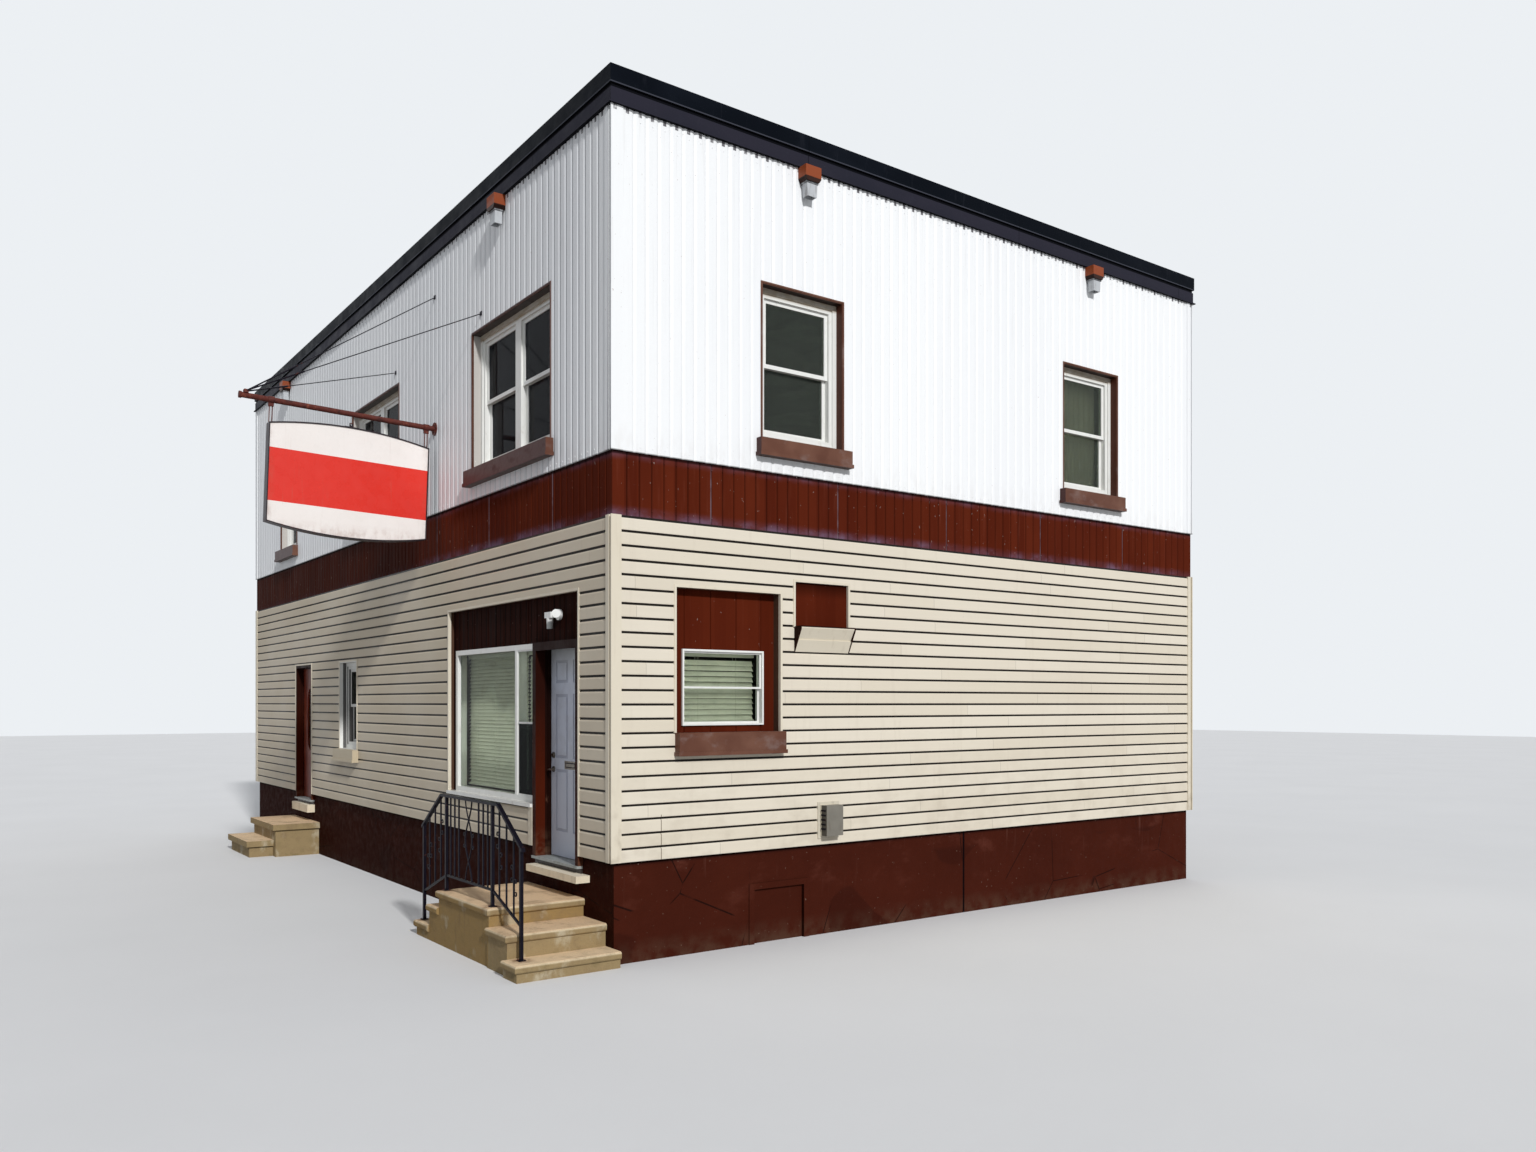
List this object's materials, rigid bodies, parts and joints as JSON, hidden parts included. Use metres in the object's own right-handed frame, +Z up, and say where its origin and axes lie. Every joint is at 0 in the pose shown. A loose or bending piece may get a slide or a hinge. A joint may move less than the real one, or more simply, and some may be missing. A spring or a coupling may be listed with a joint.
{
  "type": "corner shop building",
  "caption": "Two-storey corner shop with lap siding, ribbed upper cladding, recessed shop front, entrance steps with railing and a hanging sign.",
  "frame": {"origin": "middle of the outline's footprint, on the ground", "axes": "+X along the shop front to the right as seen from the street, shop front facing -Y, side street face towards +X, +Z up"},
  "size_m": [13.415, 10.8, 7.86],
  "materials": {
    "beige_siding": "matte",
    "brown_cladding": "faded paint",
    "brown_paint": "painted",
    "dark_fascia": "satin",
    "door_metal": "worn",
    "door_paint": "satin",
    "door_wood": "varnished",
    "floor_timber": "plain boards",
    "grey_metal": "weathered",
    "painted_masonry": "painted, chalky",
    "roof_membrane": "matte",
    "rusted_steel": "rusted",
    "sign_frame": "rust-stained",
    "sign_plastic": "faded",
    "step_concrete": "cast concrete",
    "wall_timber": "sheathed frame",
    "white_cladding": "satin",
    "white_trim": "satin",
    "window_glass": "clear",
    "wrought_iron": "painted black"
  },
  "bodies": {
    "building": {"front_foundation": "painted_masonry", "right_foundation": "painted_masonry", "back_foundation": "painted_masonry", "left_foundation": "painted_masonry", "basement_hatch": "brown_paint", "ground_floor": "floor_timber", "second_floor": "floor_timber", "roof_deck": "roof_membrane", "roof_parapet": "wall_timber", "front_corner_pier": "wall_timber", "shop_window_apron": "wall_timber", "front_middle_wall": "wall_timber", "front_left_wall": "wall_timber", "front_lintels": "wall_timber", "right_lower_wall": "wall_timber", "back_lower_wall": "wall_timber", "left_lower_wall": "wall_timber", "front_upper_wall": "wall_timber", "right_upper_wall": "wall_timber", "back_upper_wall": "wall_timber", "left_upper_wall": "wall_timber", "lap_siding": "beige_siding", "siding_corner_posts": "beige_siding", "siding_trims": "beige_siding", "brown_band": "brown_cladding", "upper_cladding": "white_cladding", "upper_corner_trims": "white_cladding", "window_edges": "brown_cladding", "lower_fascia": "dark_fascia", "fascia_cap": "dark_fascia", "roof_scuppers": "brown_cladding", "scupper_spouts": "grey_metal", "upper_window_frames": "white_trim", "upper_window_glass": "window_glass", "lower_window_frames": "white_trim", "lower_window_glass": "window_glass", "window_sills": "brown_cladding", "shop_window_frame": "white_trim", "infill_panels": "brown_cladding", "vent_skirt": "beige_siding", "meter_box": "grey_metal", "door_casings": "brown_paint", "door_sills": "white_trim", "entrance_steps": "step_concrete", "side_door_steps": "step_concrete", "door_thresholds": "step_concrete", "entrance_railing": "wrought_iron", "floodlight": "white_trim", "sign_cabinet": "sign_frame", "sign_faces": "sign_plastic", "sign_bracket": "rusted_steel", "sign_guys": "rusted_steel"},
    "shop_door_leaf": {"shop_door": "door_paint", "shop_door_handle": "door_metal"},
    "side_door_leaf": {"side_door": "door_wood", "side_door_glass": "window_glass"}
  },
  "joints": [
    {"name": "shop_door_hinge", "type": "hinge", "parent": "building", "child": "shop_door_leaf", "pos_m": [5.8845, -3.051, 1.829], "axis": [0, 0, -1], "range_deg": [0, 90]},
    {"name": "side_door_hinge", "type": "hinge", "parent": "building", "child": "side_door_leaf", "pos_m": [-3.8505, -3.106, 1.829], "axis": [0, 0, 1], "range_deg": [0, 90]}
  ]
}
